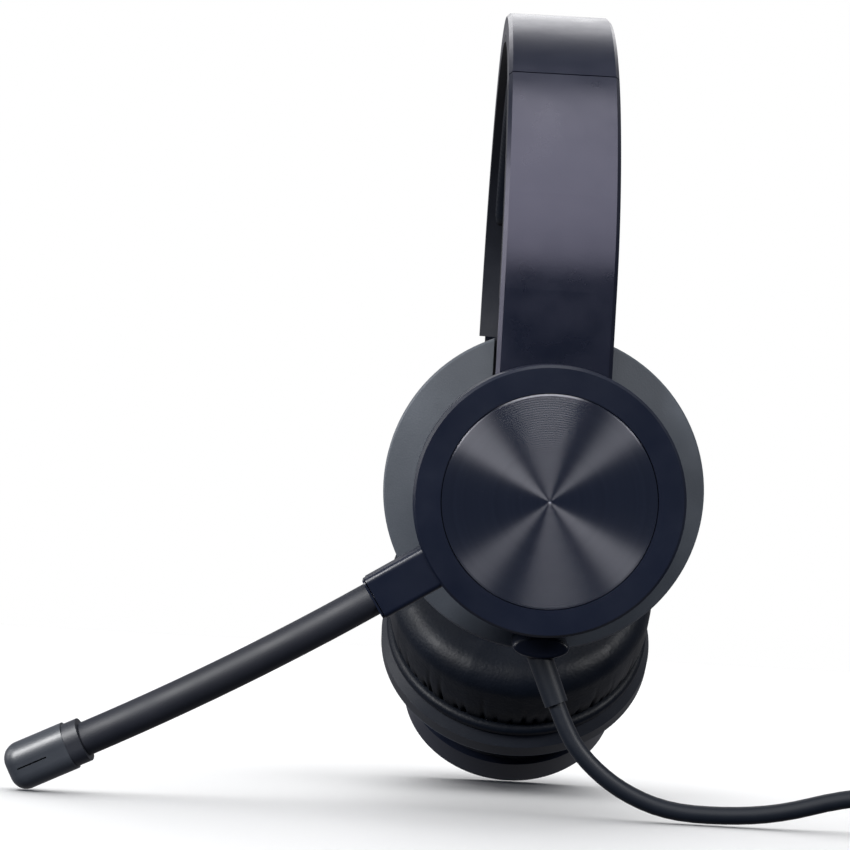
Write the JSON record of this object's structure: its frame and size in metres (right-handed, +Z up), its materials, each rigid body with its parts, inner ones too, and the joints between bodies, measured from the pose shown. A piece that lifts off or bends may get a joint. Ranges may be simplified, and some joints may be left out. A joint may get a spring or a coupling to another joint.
{
  "type": "office headset",
  "caption": "Over-head headset with round tilting ear cups, spun disc caps, a turning microphone boom and a wired USB lead.",
  "frame": {"origin": "on the floor, under the middle of the box around the headset without its free lead, as it stands leaning on the right cup and the microphone", "axes": "+Z up, the wearer faces -X, left ear cup towards -Y"},
  "size_m": [0.2729, 0.1799, 0.2016],
  "materials": {
    "band_plastic": "satin moulded",
    "cap_plastic": "smooth satin moulded",
    "shell_plastic": "fine matte moulded",
    "inner_plastic": "plain moulded",
    "disc_metal": "spun, black anodised",
    "spring_steel": "rolled",
    "magnet_metal": "plated",
    "leatherette": "soft grained",
    "ear_cloth": "open knit",
    "boom_rubber": "matte",
    "cord_jacket": "satin jacket",
    "tie_fabric": "hook and loop",
    "board": "lacquered",
    "cone_film": "thin film"
  },
  "bodies": {
    "headband": {"headband_shell": "band_plastic", "headband_liner": "inner_plastic", "headband_spring": "spring_steel", "headband_pad": "leatherette", "headband_screws": "spring_steel", "left_slide_guide": "inner_plastic", "right_slide_guide": "inner_plastic"},
    "left_arm": {"left_arm_cover": "band_plastic", "left_arm_liner": "inner_plastic", "left_slide_strip": "spring_steel"},
    "right_arm": {"right_arm_cover": "band_plastic", "right_arm_liner": "inner_plastic", "right_slide_strip": "spring_steel"},
    "left_cup": {"left_cup_shell": "shell_plastic", "left_hinge_pin": "spring_steel", "left_baffle": "inner_plastic", "left_baffle_screws": "spring_steel", "left_cushion_ring": "leatherette", "left_ear_cushion": "leatherette", "left_driver_frame": "inner_plastic", "left_driver_magnet": "magnet_metal", "left_driver_diaphragm": "cone_film", "left_ear_mesh": "ear_cloth", "terminal_board": "board", "cable_boss": "cap_plastic", "strain_relief": "cord_jacket", "cable": "cord_jacket", "cable_coil": "cord_jacket", "coil_tie": "tie_fabric", "cable_tail": "cord_jacket", "plug_body": "cord_jacket", "plug_shell": "magnet_metal", "plug_tongue": "inner_plastic"},
    "right_cup": {"right_cup_shell": "shell_plastic", "right_hinge_pin": "spring_steel", "right_trim_disc": "disc_metal", "right_cap_back": "inner_plastic", "right_hub_clip": "spring_steel", "right_baffle": "inner_plastic", "right_baffle_screws": "spring_steel", "right_cushion_ring": "leatherette", "right_ear_cushion": "leatherette", "right_driver_frame": "inner_plastic", "right_driver_magnet": "magnet_metal", "right_driver_diaphragm": "cone_film", "right_ear_mesh": "ear_cloth", "right_cap_ring": "cap_plastic"},
    "mic_boom": {"boom_cap": "cap_plastic", "left_trim_disc": "disc_metal", "left_cap_back": "inner_plastic", "left_hub_clip": "spring_steel", "stub_collar": "cap_plastic", "boom_sleeve": "boom_rubber", "boom_core": "spring_steel", "mic_collar": "inner_plastic", "mic_housing": "shell_plastic", "mic_element": "magnet_metal"}
  },
  "joints": [
    {"name": "left_slide", "type": "slide", "parent": "headband", "child": "left_arm", "axis": [0, -0.7314, -0.682], "range_m": [0, 0.02]},
    {"name": "right_slide", "type": "slide", "parent": "headband", "child": "right_arm", "axis": [0, 0.2857, -0.9583], "range_m": [-0.0077, 0.0123]},
    {"name": "left_cup_tilt", "type": "hinge", "parent": "left_arm", "child": "left_cup", "pos_m": [0.04027, -0.07477, 0.08495], "axis": [1, 0, 0], "range_deg": [-7.55, 3.45]},
    {"name": "right_cup_tilt", "type": "hinge", "parent": "right_arm", "child": "right_cup", "pos_m": [0.04027, 0.05604, 0.04263], "axis": [-1, 0, 0], "range_deg": [-3.45, 7.55]},
    {"name": "boom_turn", "type": "hinge", "parent": "left_cup", "child": "mic_boom", "pos_m": [0.04027, -0.08489, 0.06907], "axis": [0, 0.9863, 0.165], "range_deg": [-25, 215]}
  ]
}
